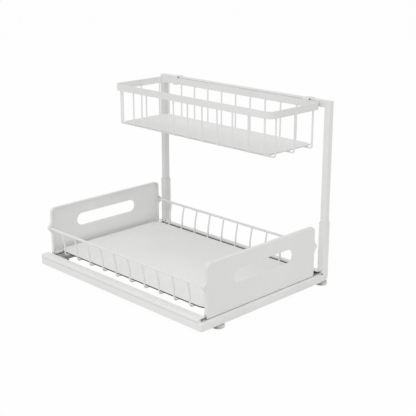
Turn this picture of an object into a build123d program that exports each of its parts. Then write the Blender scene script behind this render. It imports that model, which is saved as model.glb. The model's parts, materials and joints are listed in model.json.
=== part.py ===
from build123d import *
from math import atan2, sin
import os

# Under sink organizer, in mm. X runs along its length, -Y is its front, +Z is up and z = 0 is the
# surface that it stands on. A base frame of square tube carries two rear posts with a crossbar, a
# drawer that slides out along +X in two channels, and a wire basket that hangs on the crossbar.

os.makedirs("parts", exist_ok=True)

# Frame, over its tubes
frame_length = 400.0
frame_depth = 295.0
frame_top = 308.0

# Base tube, and the sockets that it forms at the rear
base_tube = 13.0
base_wall = 1.0
base_edge_radius = 1.2
base_bend_radius = 7.0
socket_top = 107.5
socket_depth = 45.0
vent_diameter = 2.0
vent_inset = 2.2
vent_post_gap = 1.1

# Upper tube: the two posts and the crossbar
upper_tube = 10.5
upper_wall = 0.9
upper_edge_radius = 0.9

# Set screws that hold the posts in their sockets
set_screw_diameter = 4.0
set_screw_length = 6.0
set_screw_drop = 21.5
set_screw_hole_clearance = 0.1
hex_socket_width = 2.0
hex_socket_depth = 2.5

# Feet
foot_diameter = 20.0
foot_height = 5.5
foot_edge_radius = 1.2
foot_stem_diameter = 5.0
foot_stem_length = 6.0
foot_stem_clearance = 0.2
front_foot_inset = 41.0
rear_foot_inset = 10.0

# Slide channels
channel_depth = 14.5
front_channel_height = 5.5
rear_channel_height = 7.8
channel_sheet = 1.0
front_channel_nose = 5.9
rear_channel_nose = 1.2
rear_channel_top_cut = 3.3
channel_top_radius = 2.0
channel_seam_radius = 0.5
front_channel_right_gap = 8.0
rear_channel_left_gap = 4.5
rear_channel_right_gap = 4.0
plug_length = 5.5
plug_clearance = 0.1

# Runners in the channels
runner_depth = 7.0
runner_sheet = 2.0
runner_lift = 0.5
runner_nose_clearance = 0.5
runner_end_gap = 6.5
tab_width = 4.8
tab_reach = 22.0
tab_clearance = 0.2

# Glides on the runners, and the pins that stop them
glide_length = 14.0
glide_seat = 2.2
glide_proud = 0.3
glide_height = 2.9
glide_end_gap = 13.5
glide_fit = 0.05
stop_pin_diameter = 2.5
stop_pin_clearance = 0.3
stop_pin_hole_clearance = 0.1
stop_pin_inset = 50.0
runner_engagement = 117.0

# End plates of the drawer
plate_gap = 3.0
plate_inset = 6.2
plate_lift = 0.5
plate_height = 86.6
plate_sheet = 1.0
plate_flange = 6.0
plate_corner_radius = 9.0
plate_foot_radius = 1.5
plate_edge_radius = 0.8
slot_length = 133.0
slot_height = 22.3
slot_rise = 51.8
bulge_half_height = 13.0
bulge_tip_radius = 4.5

# Rails and wires of the drawer
rail_diameter = 4.2
rail_overhang = 3.7
rail_rise = 51.0
rail_clearance = 0.2
drawer_wire_diameter = 2.8
drawer_wire_count = 10
drawer_wire_end_inset = 28.3
drawer_wire_shift = 5.2
drawer_wire_knee_drop = 25.0
drawer_wire_soft_bend = 40.0
drawer_wire_bend = 5.0
weld_gap = 0.05

# Tray of the drawer
tray_end_gap = 8.8
tray_side_gap = 9.2
tray_sheet = 1.2
tray_rise = 11.2
tray_corner_radius = 18.0

# Screws between the runners' tabs and the end plates
tab_screw_diameter = 2.5
tab_screw_head_diameter = 4.4
tab_screw_head_height = 1.2
tab_screw_clearance = 0.1
tab_screw_pitch = 9.0
tab_screw_inset = 4.0

# Basket
band_end_gap = 15.7
basket_shift = 1.2
band_width = 121.0
band_height = 11.4
band_sheet = 2.0
band_corner_radius = 12.0
band_top_drop = 2.1
band_bar_gap = 0.75
basket_wire_diameter = 2.6
basket_wire_bend = 4.0
cross_wire_top_drop = 8.5
long_wire_top_drop = 2.0
basket_sheet_drop = 67.8
basket_sheet_thickness = 1.0
basket_sheet_corner_radius = 12.0
basket_sheet_end_gap = 6.5
cross_wire_count = 11
cross_wire_end_inset = 10.95
long_wire_inset = 13.15

# Hook clips of the basket
clip_width = 12.0
clip_sheet = 1.2
clip_bend_radius = 1.8
clip_inset = 30.3
clip_front_leg = 15.0
clip_back_leg = 9.0
clip_back_clearance = 0.15

# How far a cut runs past the faces that it opens
cut_overrun = 3.0

# Places of the frame
half_length = frame_length / 2
half_depth = frame_depth / 2
base_bottom = foot_height
base_top = base_bottom + base_tube
base_middle = base_bottom + base_tube / 2
side_tube_x = half_length - base_tube / 2
post_y = half_depth - base_tube / 2
set_screw_height = socket_top - set_screw_drop
upper_half = upper_tube / 2
foot_ys = {"front": -half_depth + front_foot_inset, "rear": half_depth - rear_foot_inset}

# Places of the slide, measured from the drawer's middle line
channel_top = {
    "front": base_top + front_channel_height,
    "rear": base_top + rear_channel_height,
}
front_mouth_y = -half_depth + channel_depth
rear_mouth_y = half_depth - base_tube - channel_depth
drawer_mid_y = (front_mouth_y + rear_mouth_y) / 2
mouth_reach = (rear_mouth_y - front_mouth_y) / 2
channel_back_reach = mouth_reach + channel_depth
nose_reach = {
    "front": channel_back_reach - front_channel_nose,
    "rear": channel_back_reach - rear_channel_nose,
}
channel_floor = base_top + channel_sheet
channel_roof = {end: top - channel_sheet for end, top in channel_top.items()}
runner_outer_reach = {end: reach - runner_nose_clearance for end, reach in nose_reach.items()}
runner_inner_reach = runner_outer_reach["front"] - runner_depth
runner_bottom = channel_floor + runner_lift
runner_top = runner_bottom + runner_sheet
runner_half_length = half_length - runner_end_gap
drawer_travel = 2 * runner_half_length - runner_engagement
stop_reach = {end: (reach + runner_inner_reach) / 2 for end, reach in runner_outer_reach.items()}
stop_pin_x = half_length - stop_pin_inset
glide_x = runner_half_length - glide_end_gap

# Places of the drawer
drawer_half_depth = mouth_reach - plate_gap
plate_outer_x = half_length - plate_inset
plate_inner_x = plate_outer_x - plate_sheet
plate_bottom = base_top + plate_lift
plate_top = plate_bottom + plate_height
rail_z = plate_bottom + rail_rise
rail_reach = drawer_half_depth + rail_overhang
tray_top = plate_bottom + tray_rise
tray_bottom = tray_top - tray_sheet
tray_length = 2 * (plate_inner_x - tray_end_gap)
tray_width = 2 * (drawer_half_depth - tray_side_gap)
tab_outer_x = plate_inner_x - tab_clearance
tab_screw_x = plate_inner_x - (plate_flange - plate_sheet) / 2
tab_end_reach = runner_inner_reach - tab_reach
tab_screw_reaches = [tab_end_reach + tab_screw_inset + row * tab_screw_pitch for row in range(2)]
drawer_wire_pitch = 2 * (tray_length / 2 - drawer_wire_end_inset) / (drawer_wire_count - 1)
drawer_wire_xs = [
    (place - (drawer_wire_count - 1) / 2) * drawer_wire_pitch for place in range(drawer_wire_count)
]

# Places of the basket, which hangs a little left of the bar's middle
band_length = frame_length - 2 * band_end_gap
basket_x = -basket_shift
band_rear_y = post_y - upper_half - band_bar_gap
basket_y = band_rear_y - band_width / 2
band_top = frame_top - band_top_drop
wire_radius = basket_wire_diameter / 2
cross_wire_reach = band_width / 2 - band_sheet - weld_gap - wire_radius
long_wire_reach = band_length / 2 - band_sheet - weld_gap - wire_radius
cross_wire_pitch = 2 * (long_wire_reach - cross_wire_end_inset) / (cross_wire_count - 1)
long_wire_pitch = cross_wire_reach - long_wire_inset
clip_reach = band_length / 2 - clip_inset
basket_sheet_top = band_top - basket_sheet_drop
cross_wire_z = basket_sheet_top - basket_sheet_thickness - weld_gap - wire_radius
long_wire_z = cross_wire_z - basket_wire_diameter - weld_gap
cross_wire_xs = [
    basket_x + (place - (cross_wire_count - 1) / 2) * cross_wire_pitch for place in range(cross_wire_count)
]


def keep(piece, name):
    """Label a finished piece and write it as one file."""
    piece.part.label = name
    export_step(piece.part, f"parts/{name}.step")


def drawer_y(side, reach):
    """Y of a place that lies a reach from the drawer's middle line, -1 for front, 1 for rear."""
    return drawer_mid_y + side * reach


def rectangle(x_range, y_range, mode=Mode.ADD):
    """A rectangle in the current sketch, from its two ranges."""
    with Locations(((x_range[0] + x_range[1]) / 2, (y_range[0] + y_range[1]) / 2)):
        Rectangle(abs(x_range[1] - x_range[0]), abs(y_range[1] - y_range[0]), mode=mode)


def square_tube(size, wall, edge_radius):
    """The section of a square tube, about the current location."""
    RectangleRounded(size, size, edge_radius)
    Rectangle(size - 2 * wall, size - 2 * wall, mode=Mode.SUBTRACT)


# Front tube, mitred at both corners
with BuildPart() as front_tube:
    with BuildSketch(Plane.YZ.offset(-half_length)):
        with Locations((-post_y, base_middle)):
            square_tube(base_tube, base_wall, base_edge_radius)
    extrude(amount=frame_length)
    with BuildSketch(Plane.XY.offset(base_bottom)):
        Polygon(
            (-half_length, -half_depth),
            (half_length, -half_depth),
            (half_length - base_tube, -half_depth + base_tube),
            (-half_length + base_tube, -half_depth + base_tube),
            align=None,
        )
    extrude(amount=base_tube, mode=Mode.INTERSECT)
keep(front_tube, "front_tube")

# Rear tube, between the two sockets
with BuildPart() as rear_tube:
    with BuildSketch(Plane.YZ.offset(-half_length + base_tube)):
        with Locations((post_y, base_middle)):
            square_tube(base_tube, base_wall, base_edge_radius)
    extrude(amount=frame_length - 2 * base_tube)
keep(rear_tube, "rear_tube")

# Side tubes: each is bent up at the rear into the socket of a post
with BuildPart() as side_tube_right:
    with BuildSketch(Plane.YZ.offset(half_length - base_tube)):
        with BuildLine():
            FilletPolyline(
                (-half_depth - cut_overrun, base_bottom),
                (half_depth, base_bottom),
                (half_depth, socket_top + cut_overrun),
                radius=base_bend_radius,
            )
            Polyline(
                (half_depth, socket_top + cut_overrun),
                (half_depth - base_tube, socket_top + cut_overrun),
                (half_depth - base_tube, base_top),
                (-half_depth - cut_overrun, base_top),
                (-half_depth - cut_overrun, base_bottom),
            )
        make_face()
    extrude(amount=base_tube)
    fillet(side_tube_right.faces().filter_by(Axis.X).edges(), base_edge_radius)
    with BuildSketch(Plane.YZ.offset(half_length - base_tube + base_wall)):
        rectangle(
            (-half_depth - 2 * cut_overrun, half_depth - base_wall),
            (base_bottom + base_wall, base_top - base_wall),
        )
        rectangle(
            (half_depth - base_tube + base_wall, half_depth - base_wall),
            (base_bottom + base_bend_radius, socket_top + 2 * cut_overrun),
        )
        hollow_corner = vertices().group_by(Axis.Y)[0].sort_by(Axis.X)[-1]
        fillet(hollow_corner, base_bend_radius - base_wall)
    extrude(amount=base_tube - 2 * base_wall, mode=Mode.SUBTRACT)
    with BuildSketch(Plane.XY.offset(base_bottom)):
        Polygon(
            (half_length, -half_depth),
            (half_length, half_depth),
            (half_length - base_tube, half_depth),
            (half_length - base_tube, -half_depth + base_tube),
            align=None,
        )
    extrude(amount=socket_top - base_bottom, mode=Mode.INTERSECT)
    with BuildSketch(Plane.XY.offset(base_bottom)):
        with Locations(*[(side_tube_x, foot_y) for foot_y in foot_ys.values()]):
            Circle(foot_stem_diameter / 2 + foot_stem_clearance)
    extrude(amount=base_tube / 2, mode=Mode.SUBTRACT)
    with BuildSketch(Plane.XY.offset(base_top)):
        with Locations((half_length - vent_inset, half_depth - base_tube - vent_post_gap)):
            Circle(vent_diameter / 2)
    extrude(amount=-base_tube / 2, mode=Mode.SUBTRACT)
    with BuildSketch(Plane.XZ.offset(-half_depth)):
        with Locations((side_tube_x, set_screw_height)):
            Circle(set_screw_diameter / 2 + set_screw_hole_clearance)
    extrude(amount=base_tube / 2, mode=Mode.SUBTRACT)
keep(side_tube_right, "side_tube_right")

with BuildPart() as side_tube_left:
    mirror(side_tube_right.part, about=Plane.YZ)
keep(side_tube_left, "side_tube_left")

# Upper posts: each stands in a socket and is mitred to the crossbar
with BuildPart() as upper_post_right:
    with BuildSketch(Plane.XY.offset(socket_top - socket_depth)):
        with Locations((side_tube_x, post_y)):
            square_tube(upper_tube, upper_wall, upper_edge_radius)
    extrude(amount=frame_top - socket_top + socket_depth)
    with BuildSketch(Plane.XZ.offset(-post_y + upper_half)):
        with Locations((0, 0)):
            Polygon(
                (side_tube_x - upper_half, socket_top - socket_depth),
                (side_tube_x + upper_half, socket_top - socket_depth),
                (side_tube_x + upper_half, frame_top),
                (side_tube_x - upper_half, frame_top - upper_tube),
                align=None,
            )
    extrude(amount=-upper_tube, mode=Mode.INTERSECT)
    with BuildSketch(Plane.XZ.offset(-half_depth)):
        with Locations((side_tube_x, set_screw_height)):
            Circle(set_screw_diameter / 2 + set_screw_hole_clearance)
    extrude(amount=base_tube / 2, mode=Mode.SUBTRACT)
keep(upper_post_right, "upper_post_right")

with BuildPart() as upper_post_left:
    mirror(upper_post_right.part, about=Plane.YZ)
keep(upper_post_left, "upper_post_left")

# Crossbar, mitred to both posts
with BuildPart() as crossbar:
    with BuildSketch(Plane.YZ.offset(-side_tube_x - upper_half)):
        with Locations((post_y, frame_top - upper_half)):
            square_tube(upper_tube, upper_wall, upper_edge_radius)
    extrude(amount=2 * side_tube_x + upper_tube)
    with BuildSketch(Plane.XZ.offset(-post_y + upper_half)):
        Polygon(
            (-side_tube_x - upper_half, frame_top),
            (side_tube_x + upper_half, frame_top),
            (side_tube_x - upper_half, frame_top - upper_tube),
            (-side_tube_x + upper_half, frame_top - upper_tube),
            align=None,
        )
    extrude(amount=-upper_tube, mode=Mode.INTERSECT)
keep(crossbar, "crossbar")

# Set screws, flush in the sockets' rear walls
with BuildPart() as post_set_screws:
    with BuildSketch(Plane.XZ.offset(-half_depth)):
        with Locations((-side_tube_x, set_screw_height), (side_tube_x, set_screw_height)):
            Circle(set_screw_diameter / 2)
    extrude(amount=set_screw_length)
    with BuildSketch(Plane.XZ.offset(-half_depth)):
        with Locations((-side_tube_x, set_screw_height), (side_tube_x, set_screw_height)):
            RegularPolygon(hex_socket_width / 2, 6, major_radius=False)
    extrude(amount=hex_socket_depth, mode=Mode.SUBTRACT)
keep(post_set_screws, "post_set_screws")

# Feet: each is a disc with a stem that plugs into a side tube
for end, foot_y in foot_ys.items():
    for side, hand in ((-1, "left"), (1, "right")):
        with BuildPart() as foot:
            with BuildSketch():
                with Locations((side * side_tube_x, foot_y)):
                    Circle(foot_diameter / 2)
            extrude(amount=foot_height)
            fillet(foot.edges(), foot_edge_radius)
            with BuildSketch(Plane.XY.offset(foot_height)):
                with Locations((side * side_tube_x, foot_y)):
                    Circle(foot_stem_diameter / 2)
            extrude(amount=foot_stem_length)
        keep(foot, f"foot_{end}_{hand}")

# Channels: a rounded nose with two flanges that open towards the drawer
channel_ends = {
    "front": (-half_length, half_length - front_channel_right_gap),
    "rear": (-half_length + rear_channel_left_gap, half_length - rear_channel_right_gap),
}
for side, end in ((-1, "front"), (1, "rear")):
    with BuildPart() as channel:
        with BuildSketch(Plane.YZ.offset(channel_ends[end][0])):
            rectangle(
                (drawer_y(side, mouth_reach), drawer_y(side, channel_back_reach)),
                (base_top, channel_top[end]),
            )
            back_corners = vertices().sort_by(Axis.X)[-2:] if side > 0 else vertices().sort_by(Axis.X)[:2]
            fillet(back_corners.sort_by(Axis.Y)[-1], channel_top_radius)
            back_corners = vertices().group_by(Axis.Y)[0].sort_by(Axis.X)
            fillet(back_corners[-1] if side > 0 else back_corners[0], channel_seam_radius)
            rectangle(
                (drawer_y(side, mouth_reach - cut_overrun), drawer_y(side, nose_reach[end])),
                (channel_floor, channel_roof[end]),
                mode=Mode.SUBTRACT,
            )
            if end == "rear":
                rectangle(
                    (
                        drawer_y(side, mouth_reach - cut_overrun),
                        drawer_y(side, mouth_reach + rear_channel_top_cut),
                    ),
                    (channel_roof[end], channel_top[end] + cut_overrun),
                    mode=Mode.SUBTRACT,
                )
        extrude(amount=channel_ends[end][1] - channel_ends[end][0])
        with BuildSketch(Plane.XY.offset(base_top)):
            with Locations((stop_pin_x, drawer_y(side, stop_reach[end]))):
                Circle(stop_pin_diameter / 2 + stop_pin_hole_clearance)
        extrude(amount=channel_sheet, mode=Mode.SUBTRACT)
    keep(channel, f"{end}_channel")

# Plug that closes the front channel's left end
with BuildPart() as front_channel_plug:
    with BuildSketch(Plane.YZ.offset(-half_length)):
        rectangle(
            (drawer_y(-1, mouth_reach), drawer_y(-1, nose_reach["front"] - plug_clearance)),
            (channel_floor + plug_clearance, channel_roof["front"] - plug_clearance),
        )
    extrude(amount=plug_length)
keep(front_channel_plug, "front_channel_plug")

# Stop pins: each stands in a channel and runs in its runner's slot
with BuildPart() as stop_pins:
    with BuildSketch(Plane.XY.offset(base_top)):
        with Locations(
            (stop_pin_x, drawer_y(-1, stop_reach["front"])),
            (stop_pin_x, drawer_y(1, stop_reach["rear"])),
        ):
            Circle(stop_pin_diameter / 2)
    extrude(amount=runner_top - base_top)
keep(stop_pins, "stop_pins")

# Runners: a flat bar with a tab at each end that carries an end plate
for side, end in ((-1, "front"), (1, "rear")):
    with BuildPart() as runner:
        with BuildSketch(Plane.XY.offset(runner_bottom)):
            rectangle(
                (-runner_half_length, runner_half_length),
                (drawer_y(side, runner_inner_reach), drawer_y(side, runner_outer_reach[end])),
            )
            for hand in (-1, 1):
                rectangle(
                    (hand * (tab_outer_x - tab_width), hand * tab_outer_x),
                    (drawer_y(side, tab_end_reach), drawer_y(side, runner_inner_reach)),
                )
                rectangle(
                    (
                        hand * glide_x - glide_length / 2 - glide_fit,
                        hand * glide_x + glide_length / 2 + glide_fit,
                    ),
                    (
                        drawer_y(side, runner_outer_reach[end] - glide_seat - glide_fit),
                        drawer_y(side, runner_outer_reach[end] + cut_overrun),
                    ),
                    mode=Mode.SUBTRACT,
                )
            slot_width = stop_pin_diameter + 2 * stop_pin_clearance
            with Locations((stop_pin_x - drawer_travel / 2, drawer_y(side, stop_reach[end]))):
                SlotOverall(drawer_travel + slot_width, slot_width, mode=Mode.SUBTRACT)
            for hand in (-1, 1):
                with Locations(*[(hand * tab_screw_x, drawer_y(side, row)) for row in tab_screw_reaches]):
                    Circle(tab_screw_diameter / 2 + tab_screw_clearance, mode=Mode.SUBTRACT)
        extrude(amount=runner_sheet)
    keep(runner, f"runner_{end}")

    with BuildPart() as glides:
        glide_middle = (runner_bottom + runner_top) / 2
        with BuildSketch(Plane.XY.offset(glide_middle - glide_height / 2)):
            for hand in (-1, 1):
                rectangle(
                    (hand * glide_x - glide_length / 2, hand * glide_x + glide_length / 2),
                    (
                        drawer_y(side, runner_outer_reach[end] - glide_seat),
                        drawer_y(side, runner_outer_reach[end] + glide_proud),
                    ),
                )
        extrude(amount=glide_height + channel_roof[end] - channel_roof["front"])
    keep(glides, f"runner_glides_{end}")

# Side plates: each is a pan with a handle slot and a bulge in its edge round each rail's end. The pan is
# open at its foot, and a ledge inside it stands on the runners' tabs
rail_radius = rail_diameter / 2
bulge_reach = rail_overhang + rail_radius + rail_clearance + plate_sheet
bulge_arc = 2 * atan2(bulge_reach, bulge_half_height)
bulge_neck_radius = bulge_half_height / sin(bulge_arc) - bulge_tip_radius


def plate_outline(inset):
    """The plate's edge, moved inwards by the inset."""
    for side in (-1, 1):
        edge_y = drawer_y(side, drawer_half_depth - inset)
        neck_centre = Vector(
            drawer_y(side, drawer_half_depth + bulge_neck_radius), rail_z - bulge_half_height
        )
        tip_centre = Vector(drawer_y(side, drawer_half_depth + bulge_reach - bulge_tip_radius), rail_z)
        towards_tip = (tip_centre - neck_centre).normalized()
        meeting = neck_centre + towards_tip * (bulge_neck_radius + inset)
        lower_neck = TangentArc(
            (edge_y, rail_z - bulge_half_height), (meeting.X, meeting.Y), tangent=(0, 1)
        )
        tip = TangentArc((meeting.X, meeting.Y), (meeting.X, 2 * rail_z - meeting.Y), tangent=lower_neck % 1)
        upper_neck = TangentArc(
            (meeting.X, 2 * rail_z - meeting.Y), (edge_y, rail_z + bulge_half_height), tangent=tip % 1
        )
        Line(lower_neck @ 0, (edge_y, plate_bottom + plate_foot_radius))
        Line(upper_neck @ 1, (edge_y, plate_top - plate_corner_radius))
        TangentArc(
            (edge_y, plate_top - plate_corner_radius),
            (drawer_y(side, drawer_half_depth - plate_corner_radius), plate_top - inset),
            tangent=(0, 1),
        )
        TangentArc(
            (edge_y, plate_bottom + plate_foot_radius),
            (drawer_y(side, drawer_half_depth - plate_foot_radius), plate_bottom + inset),
            tangent=(0, -1),
        )
    for level, radius in (
        (plate_top - inset, plate_corner_radius),
        (plate_bottom + inset, plate_foot_radius),
    ):
        Line(
            (drawer_y(-1, drawer_half_depth - radius), level),
            (drawer_y(1, drawer_half_depth - radius), level),
        )


for side, hand in ((-1, "left"), (1, "right")):
    with BuildPart() as side_plate:
        with BuildSketch(Plane.YZ.offset(side * plate_outer_x)):
            with BuildLine():
                plate_outline(0)
            make_face()
        extrude(amount=-side * plate_flange)
        outer_face = side_plate.faces().sort_by(Axis.X)[-1 if side > 0 else 0]
        fillet(outer_face.edges(), plate_edge_radius)
        with BuildSketch(Plane.YZ.offset(side * plate_inner_x)):
            with BuildLine():
                plate_outline(plate_sheet)
            make_face()
        extrude(amount=-side * plate_flange, mode=Mode.SUBTRACT)
        with BuildSketch(Plane.YZ.offset(side * plate_inner_x)):
            rectangle(
                (
                    drawer_y(-1, drawer_half_depth + cut_overrun),
                    drawer_y(1, drawer_half_depth + cut_overrun),
                ),
                (plate_bottom - cut_overrun, runner_top),
            )
        extrude(amount=-side * plate_flange, mode=Mode.SUBTRACT)
        with BuildSketch(Plane.YZ.offset(side * plate_inner_x)):
            rectangle(
                (
                    drawer_y(-1, drawer_half_depth - plate_sheet),
                    drawer_y(1, drawer_half_depth - plate_sheet),
                ),
                (runner_top, runner_top + plate_sheet),
            )
        extrude(amount=-side * (plate_flange - plate_sheet))
        with BuildSketch(Plane.YZ.offset(side * (plate_inner_x - cut_overrun))):
            with Locations((drawer_mid_y, plate_bottom + slot_rise)):
                SlotOverall(slot_length, slot_height)
        extrude(amount=side * (plate_sheet + 2 * cut_overrun), mode=Mode.SUBTRACT)
        with BuildSketch(Plane.XY.offset(runner_top)):
            with Locations(
                *[
                    (side * tab_screw_x, drawer_y(rear, row))
                    for row in tab_screw_reaches
                    for rear in (-1, 1)
                ]
            ):
                Circle(tab_screw_diameter / 2 + tab_screw_clearance)
        extrude(amount=plate_sheet, mode=Mode.SUBTRACT)
    keep(side_plate, f"side_plate_{hand}")

# Screws up through the runners' tabs into the plates' ledges
with BuildPart() as tab_screws:
    tab_screw_places = [
        (hand * tab_screw_x, drawer_y(side, row))
        for hand in (-1, 1)
        for side in (-1, 1)
        for row in tab_screw_reaches
    ]
    with BuildSketch(Plane.XY.offset(runner_bottom - tab_screw_head_height)):
        with Locations(*tab_screw_places):
            Circle(tab_screw_head_diameter / 2)
    extrude(amount=tab_screw_head_height)
    fillet(tab_screws.edges().group_by(Axis.Z)[0], tab_screw_head_height / 2)
    with BuildSketch(Plane.XY.offset(runner_bottom)):
        with Locations(*tab_screw_places):
            Circle(tab_screw_diameter / 2)
    extrude(amount=runner_sheet + plate_sheet)
keep(tab_screws, "tab_screws")

# Rails: a straight wire along each side of the drawer, from plate to plate
for side, end in ((-1, "front"), (1, "rear")):
    with BuildPart() as rail_wire:
        with BuildSketch(Plane.YZ.offset(-plate_inner_x)):
            with Locations((drawer_y(side, rail_reach), rail_z)):
                Circle(rail_radius)
        extrude(amount=2 * plate_inner_x)
    keep(rail_wire, f"rail_wire_{end}")

# Drawer wires: each hangs beneath both rails, leans inwards to a knee and passes under the tray
drawer_wire_radius = drawer_wire_diameter / 2
drawer_wire_z = tray_bottom - weld_gap - drawer_wire_radius
rail_centre = Vector(rail_reach, rail_z)
wire_knee = Vector(rail_reach - drawer_wire_shift, rail_z - drawer_wire_knee_drop)
wire_top = rail_centre + (wire_knee - rail_centre).normalized() * (rail_radius + weld_gap)
wire_half = [(wire_top.X, wire_top.Y), (wire_knee.X, wire_knee.Y), (wire_knee.X, drawer_wire_z)]
with BuildPart() as one_drawer_wire:
    with BuildLine(Plane.YZ.offset(drawer_wire_xs[0])) as drawer_wire_path:
        FilletPolyline(
            *[(drawer_y(-1, reach), level) for reach, level in wire_half],
            *[(drawer_y(1, reach), level) for reach, level in reversed(wire_half)],
            radius=[drawer_wire_soft_bend, drawer_wire_bend, drawer_wire_bend, drawer_wire_soft_bend],
        )
    with BuildSketch(Plane(origin=drawer_wire_path.wire() @ 0, z_dir=drawer_wire_path.wire() % 0)):
        Circle(drawer_wire_radius)
    sweep(path=drawer_wire_path.wire())

with BuildPart() as drawer_wires:
    with Locations(*[(x - drawer_wire_xs[0], 0, 0) for x in drawer_wire_xs]):
        add(one_drawer_wire.part)
keep(drawer_wires, "drawer_wires")

# Tray, welded on the drawer wires
with BuildPart() as drawer_tray:
    with BuildSketch(Plane.XY.offset(tray_bottom)):
        with Locations((0, drawer_mid_y)):
            RectangleRounded(tray_length, tray_width, tray_corner_radius)
    extrude(amount=tray_sheet)
keep(drawer_tray, "drawer_tray")

# Basket band, a flat strip bent into a rounded rectangle
with BuildPart() as basket_band:
    with BuildSketch(Plane.XY.offset(band_top - band_height)):
        with Locations((basket_x, basket_y)):
            RectangleRounded(band_length, band_width, band_corner_radius)
            RectangleRounded(
                band_length - 2 * band_sheet,
                band_width - 2 * band_sheet,
                band_corner_radius - band_sheet,
                mode=Mode.SUBTRACT,
            )
    extrude(amount=band_height)
keep(basket_band, "basket_band")


def basket_wire_line(reach, middle, bottom_z, top_drop):
    """A U from the band down under the sheet and up again, in the current line's plane."""
    FilletPolyline(
        (middle - reach, band_top - top_drop),
        (middle - reach, bottom_z),
        (middle + reach, bottom_z),
        (middle + reach, band_top - top_drop),
        radius=basket_wire_bend,
    )


# Cross wires of the basket, front to rear
with BuildPart() as one_cross_wire:
    with BuildLine(Plane.YZ.offset(cross_wire_xs[0])) as cross_wire_path:
        basket_wire_line(cross_wire_reach, basket_y, cross_wire_z, cross_wire_top_drop)
    with BuildSketch(Plane(origin=cross_wire_path.wire() @ 0, z_dir=cross_wire_path.wire() % 0)):
        Circle(wire_radius)
    sweep(path=cross_wire_path.wire())

with BuildPart() as basket_cross_wires:
    with Locations(*[(x - cross_wire_xs[0], 0, 0) for x in cross_wire_xs]):
        add(one_cross_wire.part)
keep(basket_cross_wires, "basket_cross_wires")

# Long wires of the basket, left to right, under the cross wires
for row, place in enumerate(("front", "middle", "rear")):
    with BuildPart() as long_wire:
        with BuildLine(Plane.XZ.offset(-basket_y - (row - 1) * long_wire_pitch)) as long_wire_path:
            basket_wire_line(long_wire_reach, basket_x, long_wire_z, long_wire_top_drop)
        with BuildSketch(Plane(origin=long_wire_path.wire() @ 0, z_dir=long_wire_path.wire() % 0)):
            Circle(wire_radius)
        sweep(path=long_wire_path.wire())
    keep(long_wire, f"basket_long_wire_{place}")

# Basket sheet, on the cross wires
with BuildPart() as basket_sheet:
    with BuildSketch(Plane.XY.offset(basket_sheet_top - basket_sheet_thickness)):
        with Locations((basket_x, basket_y)):
            RectangleRounded(
                2 * (long_wire_reach - wire_radius - basket_sheet_end_gap),
                2 * (cross_wire_reach - basket_wire_bend),
                basket_sheet_corner_radius,
            )
    extrude(amount=basket_sheet_thickness)
keep(basket_sheet, "basket_sheet")

# Hook clips: each is welded inside the band and hooks over the crossbar
clip_front_y = band_rear_y - band_sheet
clip_back_y = post_y + upper_half + clip_back_clearance
for side, hand in ((-1, "left"), (1, "right")):
    with BuildPart() as hook_clip:
        with BuildSketch(Plane.YZ.offset(basket_x + side * clip_reach - clip_width / 2)):
            rectangle(
                (clip_front_y - clip_sheet, clip_back_y + clip_sheet),
                (frame_top - clip_front_leg, frame_top + clip_sheet),
            )
            fillet(vertices().group_by(Axis.Y)[-1], clip_bend_radius)
            rectangle(
                (clip_front_y, clip_back_y),
                (frame_top - clip_front_leg - cut_overrun, frame_top),
                mode=Mode.SUBTRACT,
            )
            rectangle(
                (clip_back_y - cut_overrun, clip_back_y + clip_sheet + cut_overrun),
                (frame_top - clip_front_leg - cut_overrun, frame_top - clip_back_leg),
                mode=Mode.SUBTRACT,
            )
        extrude(amount=clip_width)
    keep(hook_clip, f"hook_clip_{hand}")
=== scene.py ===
import json
from math import cos, pi, radians, sin

import bpy
import numpy as np
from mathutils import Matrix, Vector


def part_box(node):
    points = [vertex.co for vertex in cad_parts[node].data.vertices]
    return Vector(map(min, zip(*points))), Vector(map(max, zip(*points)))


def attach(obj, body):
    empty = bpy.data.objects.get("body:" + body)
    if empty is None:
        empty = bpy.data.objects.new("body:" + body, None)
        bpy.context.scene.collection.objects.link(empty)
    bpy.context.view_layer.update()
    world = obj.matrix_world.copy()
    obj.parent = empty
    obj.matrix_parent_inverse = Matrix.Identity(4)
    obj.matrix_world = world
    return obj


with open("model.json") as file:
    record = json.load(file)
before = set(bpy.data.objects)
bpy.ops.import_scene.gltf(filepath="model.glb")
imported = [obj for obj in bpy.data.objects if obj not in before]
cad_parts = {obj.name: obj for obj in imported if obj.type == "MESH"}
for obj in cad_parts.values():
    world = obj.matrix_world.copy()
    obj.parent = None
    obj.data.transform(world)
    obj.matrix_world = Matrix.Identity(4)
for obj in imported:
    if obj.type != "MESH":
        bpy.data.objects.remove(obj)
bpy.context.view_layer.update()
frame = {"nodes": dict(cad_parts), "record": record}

MM = 0.001

# Camera, from the photograph's own perspective
CAMERA_PLACE_MM = (1070.2, -996.5, 573.5)
CAMERA_AZIMUTH_DEG = 45.27
CAMERA_ELEVATION_DEG = 17.25
CAMERA_LENS_MM = 79.0
SENSOR_MM = 36.0

# Studio: how white the floor is drawn, the surround's strength, and each lamp's name, place and
# size in metres and power in watts
FLOOR_WHITENING = 0.97
FLOOR_LEVEL = 238
FLOOR_HALF = 6.0
SURROUND_STRENGTH = 0.672
LAMP_AIM = (0, 0, 0.12)
LAMPS = (
    ("key", (1.4, -2.6, 2.2), 2.2, 12.2),
    ("overhead", (0.0, -0.4, 3.0), 2.6, 12.2),
    ("fill", (-1.2, -2.6, 2.2), 2.2, 2.2),
)

# White coat: the share of blue that it lacks, and grey levels of 0 to 255; the tray and the front
# and right tubes are drawn lighter than COAT_LEVEL as painted light, the left tubes darker as painted
# shade
WHITE_YELLOWING = 0.007
COAT_LEVEL = 243
WIRE_COAT_LEVEL = 245
TRAY_LIT_LEVEL = 248
FRONT_TUBE_LIT_LEVEL = 250
LEFT_TUBE_SHADED_LEVEL = 233
SCREW_END_LEVEL = 238

# Height in metres above which the tab screws' ends are painted over
SCREW_PAINT_FROM = 0.0222

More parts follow.
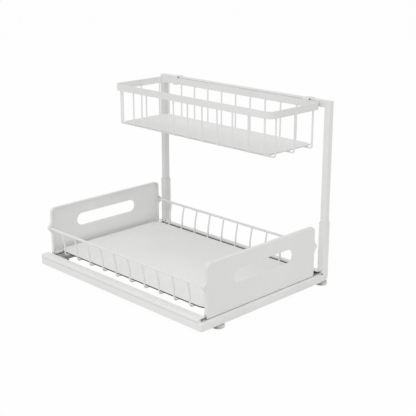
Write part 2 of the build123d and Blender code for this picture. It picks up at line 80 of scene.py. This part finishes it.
# Sizes in mm that the new pieces share with the model
TRAY_CORNER = 18.0
CHANNEL_SHEET = 1.0
DRAWER_WIRE = 2.8
DRAWER_WIRE_COUNT = 10
WIRE_LEAN = 0.205  # the drawer wires' slope away from upright at the rails, in radians
BASKET_WIRE = 2.6
CROSS_WIRE_COUNT = 11
TUBE_TOP = 18.5
PLATE_SHEET = 1.0

# Dark strip round the tray's edge, painted shade for the edge and under it: half its width and height,
# and its top's distance below the tray's
EDGE_SHADE_OUT = 0.6
EDGE_SHADE_HALF = 1.0
EDGE_SHADE_DROP = 0.2

# Seam line in the groove over the front tube: a dark strip that paints the groove's shade
SEAM_HALF = 0.32
SEAM_LIFT = 0.15
SEAM_SET_BACK = 0.22
SEAM_BACK = 0.8
SEAM_SHORT_LEFT = 0.6
SEAM_SHORT_RIGHT = 0.2

# Dark strip under the side plates: painted shade in the gap under their feet
FOOT_SHADE_THICK = 0.2
FOOT_SHADE_SET_BACK = 0.1
FOOT_SHADE_SHORT = 8.0
FOOT_SHADE_SUNK = 0.02

# Lips of the two channels
MOUTH_LIP = 0.5
MOUTH_LIP_LAP = 0.3
MOUTH_LIP_OUT = 0.4
MOUTH_LIP_SHORT = 1.2
LIP_SET_BACK = 3.4
LIP_HEIGHT = 2.55
LIP_THICK = 0.6
LIP_LEFT = -184.0
LIP_RIGHT = 184.0

# Screw heads on the rear channel, and dark lumps that paint the shade inside the vent holes
CHANNEL_SCREWS = ((-181.6, 127.3), (-190.0, 127.3))
LIP_SCREW = (-182.7, 123.3, 24.3)
VENT_X = 198.45
VENT_Y = 133.2
SCREW_HEAD = (1.5, 1.5, 0.8)
LIP_SCREW_HEAD = (1.3, 0.7, 1.3)
VENT_SHADE = (1.35, 1.35, 0.9)

# Dark strips that paint shade: behind the band, and under each clip's roof
BAND_SHADE_SHORT = 14.0
BAND_SHADE_TALL = 1.0
BAR_GAP = 0.1
CLIP_LEG = 1.3
CLIP_SHADE_SET_BACK = 0.5
CLIP_SHADE_PROUD = 0.15

# Half sizes of the weld lumps
RAIL_WELD = (1.75, 1.55, 0.75)
RAIL_WELD_DEPTH = 0.25
TRAY_WELD = (2.0, 2.6, 0.45)
TRAY_WELD_DEPTH = 0.3
TRAY_WELD_INSET = 14.0
CROSS_WIRE_WELD = (1.15, 0.5, 1.5)
LONG_WIRE_WELD = (0.5, 1.15, 3.2)
CROSSING_WELD = (1.5, 1.5, 0.45)


def linear(level):
    """The linear value of a grey level of 0 to 255, by the sRGB curve."""
    share = level / 255
    return share / 12.92 if share <= 0.04045 else ((share + 0.055) / 1.055) ** 2.4


def grey(level, warmth=0.0):
    """A near-neutral linear colour of that grey level: its blue is a trace lower, and lower still
    where warmth is above zero."""
    value = linear(level)
    return (value, value, value * (1 - WHITE_YELLOWING - warmth), 1)


def make_camera():
    """A camera at the photograph's viewing angle. At azimuth a and elevation e, its back axis is
    (sin a cos e, -cos a cos e, sin e)."""
    turn, tilt = radians(CAMERA_AZIMUTH_DEG), radians(CAMERA_ELEVATION_DEG)
    back = Vector((sin(turn) * cos(tilt), -cos(turn) * cos(tilt), sin(tilt)))
    lens = bpy.data.cameras.new("photo_camera")
    lens.lens, lens.sensor_width = CAMERA_LENS_MM, SENSOR_MM
    lens.clip_end = 20.0
    camera = bpy.data.objects.new("photo_camera", lens)
    camera.location = [MM * value for value in CAMERA_PLACE_MM]
    camera.rotation_euler = back.to_track_quat("Z", "Y").to_euler()
    bpy.context.scene.collection.objects.link(camera)
    bpy.context.scene.camera = camera


def shader_tree(name):
    """A new node material, with its node tree emptied down to the output."""
    material = bpy.data.materials.new(name)
    material.use_nodes = True
    tree = material.node_tree
    tree.nodes.clear()
    output = tree.nodes.new("ShaderNodeOutputMaterial")
    return material, tree, output


def finish_tree(name):
    """A new material with its tree, its place in the model and a surface linked to the output."""
    material, tree, output = shader_tree(name)
    place = tree.nodes.new("ShaderNodeTexCoord")
    surface = tree.nodes.new("ShaderNodeBsdfPrincipled")
    tree.links.new(surface.outputs["BSDF"], output.inputs["Surface"])
    return material, tree, place, surface


def noise(tree, coordinates, scale, detail, roughness=0.5):
    """A noise texture on the given coordinates, at a scale in cycles per metre."""
    node = tree.nodes.new("ShaderNodeTexNoise")
    node.inputs["Scale"].default_value = scale
    node.inputs["Detail"].default_value = detail
    node.inputs["Roughness"].default_value = roughness
    tree.links.new(coordinates.outputs["Object"], node.inputs["Vector"])
    return node.outputs["Fac"]


def ramp(tree, factor, low, high, low_colour, high_colour):
    """A colour ramp from one colour to another between two places of the factor."""
    node = tree.nodes.new("ShaderNodeValToRGB")
    node.color_ramp.elements[0].position = low
    node.color_ramp.elements[1].position = high
    node.color_ramp.elements[0].color = low_colour
    node.color_ramp.elements[1].color = high_colour
    tree.links.new(factor, node.inputs["Fac"])
    return node.outputs["Color"]


def span(tree, factor, low, high):
    """The factor's range of 0.3 to 0.7, where noise lies, mapped to low and high."""
    node = tree.nodes.new("ShaderNodeMapRange")
    node.inputs["From Min"].default_value = 0.3
    node.inputs["From Max"].default_value = 0.7
    node.inputs["To Min"].default_value = low
    node.inputs["To Max"].default_value = high
    tree.links.new(factor, node.inputs["Value"])
    return node.outputs["Result"]


def bump(tree, height, depth, strength=1.0, before=None):
    """A bump of the given depth in metres, on top of another one where given."""
    node = tree.nodes.new("ShaderNodeBump")
    node.inputs["Distance"].default_value = depth
    node.inputs["Strength"].default_value = strength
    tree.links.new(height, node.inputs["Height"])
    if before:
        tree.links.new(before, node.inputs["Normal"])
    return node.outputs["Normal"]


def blend(tree, factor, first, second):
    """One colour turning into another as the factor goes from 0 to 1; each is a value or a link."""
    node = tree.nodes.new("ShaderNodeMix")
    node.data_type = "RGBA"
    tree.links.new(factor, node.inputs["Factor"])
    for socket, colour in ((node.inputs[6], first), (node.inputs[7], second)):
        if isinstance(colour, tuple):
            socket.default_value = colour
        else:
            tree.links.new(colour, socket)
    return node.outputs[2]


def share_along(tree, place, axis, low, high):
    """How far a point has come along an axis from low to high, in metres, from 0 to 1."""
    split = tree.nodes.new("ShaderNodeSeparateXYZ")
    tree.links.new(place.outputs["Object"], split.inputs[0])
    share = tree.nodes.new("ShaderNodeMapRange")
    share.inputs["From Min"].default_value = low
    share.inputs["From Max"].default_value = high
    tree.links.new(split.outputs[axis], share.inputs["Value"])
    return share.outputs["Result"]


def powder_coat(name, level=COAT_LEVEL, peel_scale=700.0, peel_depth=0.00003, gloss=0.42, painted_light_fade=None):
    """White powder coat: an orange peel of fine waves, a slow drift of tone and roughness, and
    sparse darker specks. An optional last argument paints light or shade into the tone: it gives the
    axis, the two places in metres between which the tone changes, and the grey level at the first of
    them."""
    material, tree, place, surface = finish_tree(name)
    drift = noise(tree, place, 9.0, 3.0)
    tone = ramp(tree, drift, 0.35, 0.68, grey(level - 3, 0.004), grey(level + 2, 0.001))
    # Painted light and shade: the tone runs toward another grey along one axis
    if painted_light_fade is not None:
        axis, start, end, start_level = painted_light_fade
        tone = blend(tree, share_along(tree, place, axis, start, end), grey(start_level, 0.002), tone)
    dots = noise(tree, place, 900.0, 1.0)
    specks = ramp(tree, dots, 0.13, 0.18, grey(level - 10, 0.01), (1, 1, 1, 1))
    mix = tree.nodes.new("ShaderNodeMix")
    mix.data_type, mix.blend_type = "RGBA", "MULTIPLY"
    mix.inputs["Factor"].default_value = 1.0
    tree.links.new(tone, mix.inputs[6])
    tree.links.new(specks, mix.inputs[7])
    tree.links.new(mix.outputs[2], surface.inputs["Base Color"])
    roughness = span(tree, noise(tree, place, 30.0, 2.0), gloss - 0.05, gloss + 0.07)
    tree.links.new(roughness, surface.inputs["Roughness"])
    waves = bump(tree, noise(tree, place, peel_scale, 1.5), peel_depth)
    ripple = bump(tree, noise(tree, place, 60.0, 1.0), 0.00012, 0.35, waves)
    tree.links.new(ripple, surface.inputs["Normal"])
    return material


def zinc_plate(name):
    """Zinc-plated steel: a cool bright metal with fine lengthwise brushing and cloudy passivation."""
    material, tree, place, surface = finish_tree(name)
    stretch = tree.nodes.new("ShaderNodeMapping")
    stretch.inputs["Scale"].default_value = (0.03, 1, 1)
    tree.links.new(place.outputs["Object"], stretch.inputs["Vector"])
    brush = tree.nodes.new("ShaderNodeTexNoise")
    brush.inputs["Scale"].default_value = 2500.0
    tree.links.new(stretch.outputs["Vector"], brush.inputs["Vector"])
    cloud = noise(tree, place, 120.0, 4.0)
    tree.links.new(ramp(tree, cloud, 0.35, 0.7, grey(132), grey(160)), surface.inputs["Base Color"])
    surface.inputs["Metallic"].default_value = 1.0
    tree.links.new(span(tree, cloud, 0.3, 0.48), surface.inputs["Roughness"])
    tree.links.new(bump(tree, brush.outputs["Fac"], 0.00002), surface.inputs["Normal"])
    return material


def black_oxide(name, painted_above=None):
    """Black oxide on a screw: a dark oily steel with a worn, lighter grain. Above the height that is
    given, in metres, it is painted over with the white of the plate that it ends in."""
    material, tree, place, surface = finish_tree(name)
    grain = noise(tree, place, 1400.0, 3.0)
    steel = ramp(tree, grain, 0.35, 0.75, grey(58), grey(96))
    surface.inputs["Metallic"].default_value = 0.6
    if painted_above is None:
        tree.links.new(steel, surface.inputs["Base Color"])
    else:
        split = tree.nodes.new("ShaderNodeSeparateXYZ")
        tree.links.new(place.outputs["Object"], split.inputs[0])
        above = tree.nodes.new("ShaderNodeMath")
        above.operation = "GREATER_THAN"
        above.inputs[1].default_value = painted_above
        tree.links.new(split.outputs["Z"], above.inputs[0])
        painted = blend(tree, above.outputs[0], steel, grey(SCREW_END_LEVEL, 0.003))
        tree.links.new(painted, surface.inputs["Base Color"])
        metal = tree.nodes.new("ShaderNodeMath")
        metal.operation = "MULTIPLY_ADD"
        metal.inputs[1].default_value = -0.6
        metal.inputs[2].default_value = 0.6
        tree.links.new(above.outputs[0], metal.inputs[0])
        tree.links.new(metal.outputs[0], surface.inputs["Metallic"])
    tree.links.new(span(tree, grain, 0.4, 0.6), surface.inputs["Roughness"])
    tree.links.new(bump(tree, grain, 0.00002), surface.inputs["Normal"])
    return material


def grey_rubber(name):
    """Pale grey rubber: matt, with a fine pebble from its mould and faint dust, and a painted highlight:
    lighter on the side that faces the rear right."""
    material, tree, place, surface = finish_tree(name)
    dust = noise(tree, place, 160.0, 4.0)
    facing = tree.nodes.new("ShaderNodeNewGeometry")
    toward = tree.nodes.new("ShaderNodeVectorMath")
    toward.operation = "DOT_PRODUCT"
    toward.inputs[1].default_value = (0.707, 0.707, 0)
    tree.links.new(facing.outputs["Normal"], toward.inputs[0])
    # Painted highlight: the colour turns lighter as the surface faces the rear right
    painted_highlight_share = tree.nodes.new("ShaderNodeMapRange")
    painted_highlight_share.inputs["From Min"].default_value = -0.2
    painted_highlight_share.inputs["From Max"].default_value = 0.75
    tree.links.new(toward.outputs["Value"], painted_highlight_share.inputs["Value"])
    dusty = ramp(tree, dust, 0.35, 0.7, grey(168, 0.006), grey(186, 0.004))
    with_painted_highlight = blend(tree, painted_highlight_share.outputs["Result"], dusty, grey(232, 0.004))
    tree.links.new(with_painted_highlight, surface.inputs["Base Color"])
    tree.links.new(span(tree, dust, 0.62, 0.78), surface.inputs["Roughness"])
    tree.links.new(bump(tree, noise(tree, place, 2200.0, 1.0), 0.00004), surface.inputs["Normal"])
    return material


def moulded_nylon(name):
    """Natural white nylon: slightly warm and waxy, with soft flow marks."""
    material, tree, place, surface = finish_tree(name)
    flow = noise(tree, place, 240.0, 3.0)
    waxy = ramp(tree, flow, 0.3, 0.7, grey(206, 0.02), grey(218, 0.015))
    tree.links.new(waxy, surface.inputs["Base Color"])
    tree.links.new(span(tree, flow, 0.36, 0.5), surface.inputs["Roughness"])
    surface.inputs["Subsurface Weight"].default_value = 0.08
    surface.inputs["Subsurface Scale"].default_value = 0.001
    tree.links.new(bump(tree, flow, 0.00002), surface.inputs["Normal"])
    return material


def studio_floor():
    """A pale floor that takes the object's soft shadow, whitened where the camera, a gloss or a
    clear surface sees it."""
    material, tree, output = shader_tree("studio_floor")
    path = tree.nodes.new("ShaderNodeLightPath")
    seen = tree.nodes.new("ShaderNodeMath")
    seen.operation = "MAXIMUM"
    tree.links.new(path.outputs["Is Camera Ray"], seen.inputs[0])
    clear = tree.nodes.new("ShaderNodeMath")
    clear.operation = "MAXIMUM"
    tree.links.new(path.outputs["Is Glossy Ray"], clear.inputs[0])
    tree.links.new(path.outputs["Is Transmission Ray"], clear.inputs[1])
    tree.links.new(clear.outputs[0], seen.inputs[1])
    amount = tree.nodes.new("ShaderNodeMath")
    amount.operation = "MULTIPLY"
    amount.inputs[1].default_value = FLOOR_WHITENING
    tree.links.new(seen.outputs[0], amount.inputs[0])
    matt = tree.nodes.new("ShaderNodeBsdfDiffuse")
    matt.inputs["Color"].default_value = grey(FLOOR_LEVEL)
    white = tree.nodes.new("ShaderNodeEmission")
    white.inputs["Color"].default_value = (1, 1, 1, 1)
    mix = tree.nodes.new("ShaderNodeMixShader")
    tree.links.new(amount.outputs[0], mix.inputs["Fac"])
    tree.links.new(matt.outputs["BSDF"], mix.inputs[1])
    tree.links.new(white.outputs["Emission"], mix.inputs[2])
    tree.links.new(mix.outputs["Shader"], output.inputs["Surface"])
    return material


def painted_shade_finish(name):
    """Dark grey for the strips that paint shade: semi-matt, with faint rubbed streaks and a fine grain.
    """
    material, tree, place, surface = finish_tree(name)
    rub = noise(tree, place, 90.0, 3.0)
    tree.links.new(ramp(tree, rub, 0.3, 0.75, grey(84), grey(108)), surface.inputs["Base Color"])
    tree.links.new(span(tree, rub, 0.5, 0.66), surface.inputs["Roughness"])
    tree.links.new(bump(tree, noise(tree, place, 1800.0, 1.0), 0.00002), surface.inputs["Normal"])
    return material


def mesh_piece(name, vertices, faces, material, smooth=True):
    """A new object at the origin, from its points and faces."""
    mesh = bpy.data.meshes.new(name)
    mesh.from_pydata([tuple(point) for point in vertices], [], [tuple(face) for face in faces])
    mesh.polygons.foreach_set("use_smooth", [smooth] * len(mesh.polygons))
    mesh.materials.append(material)
    mesh.update()
    piece = bpy.data.objects.new(name, mesh)
    bpy.context.scene.collection.objects.link(piece)
    return piece


def rounded_loop(middle, half_x, half_y, radius, arc_steps):
    """Points and outward directions round a rectangle with rounded corners, seen from above and
    counter-clockwise: each corner's centre plus radius times (cos t, sin t), t in even steps over its
    quarter turn; the straight sides join the arcs."""
    turn = np.arange(4)[:, None] * pi / 2 + np.linspace(0, pi / 2, arc_steps)[None, :]
    outward = np.stack([np.cos(turn), np.sin(turn)], axis=-1)
    signs = np.array([(1, 1), (-1, 1), (-1, -1), (1, -1)])[:, None, :]
    centres = np.asarray(middle) + signs * (half_x - radius, half_y - radius)
    return (centres + radius * outward).reshape(-1, 2), outward.reshape(-1, 2)


def carried_round(path, outward, profile):
    """A profile carried round a closed path: each path point plus its outward direction times u, at
    the height v, for the profile's points (u, v), which run counter-clockwise."""
    across, up = profile[:, 0], profile[:, 1]
    level = path[:, None, :] + outward[:, None, :] * across[None, :, None]
    height = np.broadcast_to(up[None, :, None], (len(path), len(profile), 1))
    vertices = np.concatenate([level, height], axis=-1).reshape(-1, 3)
    count = len(profile)
    i, j = np.meshgrid(np.arange(len(path)), np.arange(count), indexing="ij")
    row, next_row, above = i * count, (i + 1) % len(path) * count, (j + 1) % count
    faces = np.stack([row + j, next_row + j, next_row + above, row + above], axis=-1)
    return vertices, faces.reshape(-1, 4)


def beads(places, half_sizes, axes=None, rings=5, sides=10):
    """Small lumps of weld, or screw heads: each place plus (a sin p cos q, b sin p sin q, c cos p), p
    from pole to pole and q once round, with a, b and c along the rows of axes."""
    p = np.linspace(0, pi, rings + 2)[1:-1, None]
    q = np.linspace(0, 2 * pi, sides, endpoint=False)[None, :]
    ring = np.stack([np.sin(p) * np.cos(q), np.sin(p) * np.sin(q), np.cos(p) + 0 * q], axis=-1)
    unit = np.vstack([(0, 0, 1), ring.reshape(-1, 3), (0, 0, -1)])
    axes = np.eye(3) if axes is None else np.asarray(axes)
    lump = (unit * half_sizes) @ axes
    vertices = (np.asarray(places)[:, None, :] + lump[None]).reshape(-1, 3)
    k = np.arange(sides)
    after = (k + 1) % sides
    last = 1 + (rings - 1) * sides
    top = np.stack([0 * k, 1 + k, 1 + after], axis=-1)
    foot = np.stack([0 * k + last + sides, last + after, last + k], axis=-1)
    row = np.arange(rings - 1)[:, None] * sides + 1
    side = np.stack([row + k, row + sides + k, row + sides + after, row + after], axis=-1)
    offsets = np.arange(len(places)) * len(unit)
    faces = []
    for shape in (top, foot, side.reshape(-1, 4)):
        faces += (shape[None] + offsets[:, None, None]).reshape(-1, shape.shape[1]).tolist()
    return vertices, faces


def strip(low, high, edge, along=0):
    """A straight strip between two corners: a rounded rectangle carried along one axis, drawn in a
    little at each end and closed there by a fan of triangles on the end's middle."""
    low, high = np.array(low, dtype=float), np.array(high, dtype=float)
    across = [(1, 2), (2, 0), (0, 1)][along]
    middle, half = (low + high)[list(across)] / 2, (high - low)[list(across)] / 2
    loop, outward = rounded_loop(middle, half[0], half[1], edge, 4)
    drawn_in = 0.7 * edge * np.array([1, 0, 0, 1])
    ends = np.array([low[along], high[along]])
    stations = np.array([ends[0], ends[0] + 0.7 * edge, ends[1] - 0.7 * edge, ends[1]])
    count = len(loop)
    rings = np.empty((4, count, 3))
    rings[..., along] = stations[:, None]
    rings[..., list(across)] = loop[None] - outward[None] * drawn_in[:, None, None]
    poles = np.empty((2, 3))
    poles[:, along] = ends
    poles[:, list(across)] = middle
    vertices = np.vstack([poles[:1], rings.reshape(-1, 3), poles[1:]])
    k = np.arange(count)
    after = (k + 1) % count
    row = np.arange(3)[:, None] * count + 1
    last = 1 + 3 * count
    side = np.stack([row + k, row + after, row + count + after, row + count + k], axis=-1).reshape(-1, 4)
    near = np.stack([0 * k, 1 + after, 1 + k], axis=-1)
    far = np.stack([0 * k + last + count, last + k, last + after], axis=-1)
    return vertices, side.tolist() + near.tolist() + far.tolist()


def dress(name, shape, finish, body):
    """A new piece from its shape in mm and its finish, riding on a body. The finish is a material slot's
    name, or the entry of the dark strips that paint shade; its material comes from SLOT_FINISH."""
    vertices, faces = shape
    piece = mesh_piece(name, np.asarray(vertices) * MM, faces, SLOT_FINISH[finish])
    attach(piece, body)


def corners_mm(node):
    """A node's lowest and highest corner, in mm."""
    low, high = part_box(node)
    return np.array(low) / MM, np.array(high) / MM


def make_tray_edge_shade():
    """A dark strip round the tray's edge, just under the tray's top, that paints the shade of the edge
    and under it: an oval profile, its half width times cos t across and its half height times sin t up,
    carried round the edge."""
    low, high = corners_mm("drawer_tray")
    half, middle = (high - low) / 2, (high + low) / 2
    path, outward = rounded_loop(middle[:2], half[0], half[1], TRAY_CORNER, 14)
    turn = np.linspace(0, 2 * pi, 16, endpoint=False)
    level = high[2] - EDGE_SHADE_DROP - EDGE_SHADE_HALF
    profile = np.stack([EDGE_SHADE_OUT * np.cos(turn), level + EDGE_SHADE_HALF * np.sin(turn)], axis=-1)
    dress("tray_edge_shade", carried_round(path, outward, profile), "painted_shade_strip", "drawer")


def make_channel_seam():
    """The dark line in the groove between the front channel and the front tube: painted shade."""
    low, high = corners_mm("front_channel")
    level = low[2] + SEAM_LIFT
    near = (low[0] + SEAM_SHORT_LEFT, low[1] + SEAM_SET_BACK, level - SEAM_HALF)
    far = (high[0] - SEAM_SHORT_RIGHT, low[1] + SEAM_BACK, level + SEAM_HALF)
    dress("channel_seam", strip(near, far, 0.1), "painted_shade_strip", "frame")


def make_drawer_welds():
    """Weld lumps where each drawer wire meets its rails, and where it meets the tray."""
    wires_low, wires_high = corners_mm("drawer_wires")
    tray_low, tray_high = corners_mm("drawer_tray")
    half_wire = DRAWER_WIRE / 2
    xs = np.linspace(wires_low[0] + half_wire, wires_high[0] - half_wire, DRAWER_WIRE_COUNT)
    for side, end in ((-1, "front"), (1, "rear")):
        rail_low, rail_high = corners_mm(f"rail_wire_{end}")
        centre = (rail_low + rail_high) / 2
        radius = (rail_high[2] - rail_low[2]) / 2
        lean = np.array((-side * sin(WIRE_LEAN), -cos(WIRE_LEAN)))
        foot = centre[1:] + lean * (radius + RAIL_WELD_DEPTH)
        places = np.stack([xs, 0 * xs + foot[0], 0 * xs + foot[1]], axis=-1)
        axes = ((1, 0, 0), (0, lean[1], -lean[0]), (0, lean[0], lean[1]))
        dress(f"rail_welds_{end}", beads(places, RAIL_WELD, axes), "white_wire", "drawer")
    ys = np.linspace(tray_low[1] + TRAY_WELD_INSET, tray_high[1] - TRAY_WELD_INSET, 3)
    grid_x, grid_y = np.meshgrid(xs, ys)
    level = np.full(grid_x.size, tray_low[2] - TRAY_WELD_DEPTH)
    places = np.stack([grid_x.ravel(), grid_y.ravel(), level], axis=-1)
    dress("tray_welds", beads(places, TRAY_WELD), "white_wire", "drawer")


def make_basket_welds():
    """Weld lumps where the basket's wires meet the band and where they cross each other."""
    cross_low, cross_high = corners_mm("basket_cross_wires")
    band_low, band_high = corners_mm("basket_band")
    radius = BASKET_WIRE / 2
    xs = np.linspace(cross_low[0] + radius, cross_high[0] - radius, CROSS_WIRE_COUNT)
    level = (cross_high[2] + band_low[2]) / 2
    spots = [np.stack([xs, 0 * xs + y, 0 * xs + level], axis=-1) for y in (cross_low[1], cross_high[1])]
    dress("cross_wire_welds", beads(np.concatenate(spots), CROSS_WIRE_WELD), "white_wire", "basket")
    ends, crossings = [], []
    for place in ("front", "middle", "rear"):
        low, high = corners_mm(f"basket_long_wire_{place}")
        y = (low[1] + high[1]) / 2
        level = (band_low[2] + high[2]) / 2
        ends += [(low[0], y, level), (high[0], y, level)]
        crossings.append(np.stack([xs, 0 * xs + y, 0 * xs + low[2] + BASKET_WIRE], axis=-1))
    dress("long_wire_welds", beads(ends, LONG_WIRE_WELD), "white_wire", "basket")
    dress("crossing_welds", beads(np.concatenate(crossings), CROSSING_WELD), "white_wire", "basket")


def make_plate_foot_shades():
    """A dark strip under the foot of each side plate, a little short of it all round: painted shade in
    the gap over the tube.
    """
    for side in ("left", "right"):
        low, high = corners_mm(f"side_plate_{side}")
        left = high[0] - PLATE_SHEET if side == "right" else low[0]
        near = (left + FOOT_SHADE_SET_BACK, low[1] + FOOT_SHADE_SHORT, low[2] - FOOT_SHADE_THICK)
        far = (left + PLATE_SHEET - FOOT_SHADE_SET_BACK, high[1] - FOOT_SHADE_SHORT, low[2] + FOOT_SHADE_SUNK)
        dress(f"plate_foot_shade_{side}", strip(near, far, 0.08, along=1), "painted_shade_strip", "drawer")


def make_rear_lip():
    """The white lip that hangs from the rear channel's top flange between the drawer's plates."""
    low, high = corners_mm("rear_channel")
    front = low[1] + LIP_SET_BACK
    near = (LIP_LEFT, front, high[2] - LIP_HEIGHT)
    far = (LIP_RIGHT, front + LIP_THICK, high[2] - 0.05)
    dress("rear_channel_lip", strip(near, far, 0.2), "white_paint", "frame")


def make_mouth_lip():
    """The turned-down edge over the mouth of the front channel, above the runner that slides out."""
    low, high = corners_mm("front_channel")
    roof = high[2] - CHANNEL_SHEET
    near = (high[0] - 0.02, low[1] + MOUTH_LIP_SHORT, roof - MOUTH_LIP)
    far = (high[0] + MOUTH_LIP_OUT, high[1], roof + MOUTH_LIP_LAP)
    dress("front_mouth_lip", strip(near, far, 0.1, along=1), "white_paint", "frame")


def make_rear_fixings():
    """Small dark screws on the rear channel's left end, and dark lumps that paint the shade in the
    tubes' vent holes.
    """
    flange = corners_mm("rear_channel")[1][2]
    heads = [(x, y, flange + 0.1) for x, y in CHANNEL_SCREWS]
    dress("channel_screw_heads", beads(heads, SCREW_HEAD), "dark_screw", "frame")
    dress("lip_screw_head", beads([LIP_SCREW], LIP_SCREW_HEAD), "dark_screw", "frame")
    hole_shades = [(side * VENT_X, VENT_Y, TUBE_TOP) for side in (-1, 1)]
    dress("vent_hole_shades", beads(hole_shades, VENT_SHADE), "dark_screw", "frame")


def make_basket_gap_shades():
    """The dark strip between the band and the crossbar, and one under each clip's roof: painted shade in
    these gaps.
    """
    band_low, band_high = corners_mm("basket_band")
    bar_low, bar_high = corners_mm("crossbar")
    near = (band_low[0] + BAND_SHADE_SHORT, band_high[1] + 0.04, band_high[2] - BAND_SHADE_TALL)
    far = (band_high[0] - BAND_SHADE_SHORT, bar_low[1] - BAR_GAP, band_high[2] - 0.03)
    dress("band_gap_shade", strip(near, far, 0.1), "painted_shade_strip", "basket")
    # Painted shade: a dark strip under each clip's roof
    for side in ("left", "right"):
        low, high = corners_mm(f"hook_clip_{side}")
        near = (low[0] + CLIP_SHADE_SET_BACK, low[1] + CLIP_LEG, band_high[2] + 0.05)
        far = (high[0] + CLIP_SHADE_PROUD, bar_low[1] - BAR_GAP, bar_high[2] - BAR_GAP)
        dress(f"clip_shade_{side}", strip(near, far, 0.15), "painted_shade_strip", "basket")


def make_floor():
    """The floor: a square of pale surface under the feet."""
    half = FLOOR_HALF
    corners = [(-half, -half, 0), (half, -half, 0), (half, half, 0), (-half, half, 0)]
    floor = mesh_piece("floor", corners, [(0, 1, 2, 3)], studio_floor(), smooth=False)


def make_light():
    """A white surround, and broad soft lamps: a key and a fill from the front and one overhead."""
    world = bpy.data.worlds.new("studio")
    bpy.context.scene.world = world
    world.use_nodes = True
    tree = world.node_tree
    tree.nodes.clear()
    output = tree.nodes.new("ShaderNodeOutputWorld")
    path = tree.nodes.new("ShaderNodeLightPath")
    glow = tree.nodes.new("ShaderNodeBackground")
    glow.inputs["Color"].default_value = (1, 1, 1, 1)
    glow.inputs["Strength"].default_value = SURROUND_STRENGTH
    white = tree.nodes.new("ShaderNodeBackground")
    white.inputs["Color"].default_value = (1, 1, 1, 1)
    white.inputs["Strength"].default_value = 1.0
    mix = tree.nodes.new("ShaderNodeMixShader")
    tree.links.new(path.outputs["Is Camera Ray"], mix.inputs["Fac"])
    tree.links.new(glow.outputs["Background"], mix.inputs[1])
    tree.links.new(white.outputs["Background"], mix.inputs[2])
    tree.links.new(mix.outputs["Shader"], output.inputs["Surface"])
    for name, place, size, power in LAMPS:
        lamp = bpy.data.lights.new(name, "AREA")
        lamp.shape, lamp.size, lamp.energy = "DISK", size, power
        holder = bpy.data.objects.new(name, lamp)
        holder.location = place
        aim = Vector(place) - Vector(LAMP_AIM)
        holder.rotation_euler = aim.to_track_quat("Z", "Y").to_euler()
        bpy.context.scene.collection.objects.link(holder)


bpy.context.scene.view_settings.view_transform = "Standard"
make_camera()
make_floor()
make_light()

# A finish for each material slot and for the dark strips that paint shade, and the nodes with a finish
# of their own: screws with painted-over ends, and coats drawn lighter or darker as painted light and
# shade
SLOT_FINISH = {
    "white_paint": powder_coat("white_powder_coat"),
    "white_wire": powder_coat(
        "white_wire_coat", level=WIRE_COAT_LEVEL, peel_scale=900.0, peel_depth=0.00002, gloss=0.4,
    ),
    "grey_rubber": grey_rubber("foot_rubber"),
    "zinc_steel": zinc_plate("zinc_plate"),
    "dark_screw": black_oxide("black_oxide"),
    "white_nylon": moulded_nylon("nylon"),
    "painted_shade_strip": painted_shade_finish("painted_shade_finish"),
}
NODE_FINISH = {
    "tab_screws": black_oxide("black_oxide_painted_end", painted_above=SCREW_PAINT_FROM),
    # Painted light: the tray is drawn lighter than the coat
    "drawer_tray": powder_coat("tray_coat", level=TRAY_LIT_LEVEL),
    # Painted light and shade: the basket sheet is drawn lighter toward the rear, the left plate lighter
    # toward its foot, the right plate lighter toward the rear
    "basket_sheet": powder_coat("basket_sheet_coat", level=246, painted_light_fade=("Y", 0.045, 0.1, 237)),
    "side_plate_left": powder_coat("left_plate_coat", painted_light_fade=("Z", 0.024, 0.066, 253)),
    "side_plate_right": powder_coat("right_plate_coat", level=248, painted_light_fade=("Y", -0.13, 0.11, 244)),
}
# Painted light and shade: the front and right tubes and the right post are drawn lighter than the coat,
# the left tube and post darker
for tube in ("front_tube", "front_channel", "side_tube_right", "upper_post_right"):
    NODE_FINISH[tube] = powder_coat(f"{tube}_coat", level=FRONT_TUBE_LIT_LEVEL)
for tube in ("side_tube_left", "upper_post_left"):
    NODE_FINISH[tube] = powder_coat(f"{tube}_coat", level=LEFT_TUBE_SHADED_LEVEL)
slot_of_node = {part["node"]: part["material_slot"] for part in frame["record"]["subparts"]}
for node_name, node_object in frame["nodes"].items():
    node_object.data.materials.clear()
    finish = NODE_FINISH.get(node_name, SLOT_FINISH[slot_of_node[node_name]])
    node_object.data.materials.append(finish)

make_tray_edge_shade()
make_channel_seam()
make_plate_foot_shades()
make_rear_lip()
make_mouth_lip()
make_rear_fixings()
make_drawer_welds()
make_basket_welds()
make_basket_gap_shades()
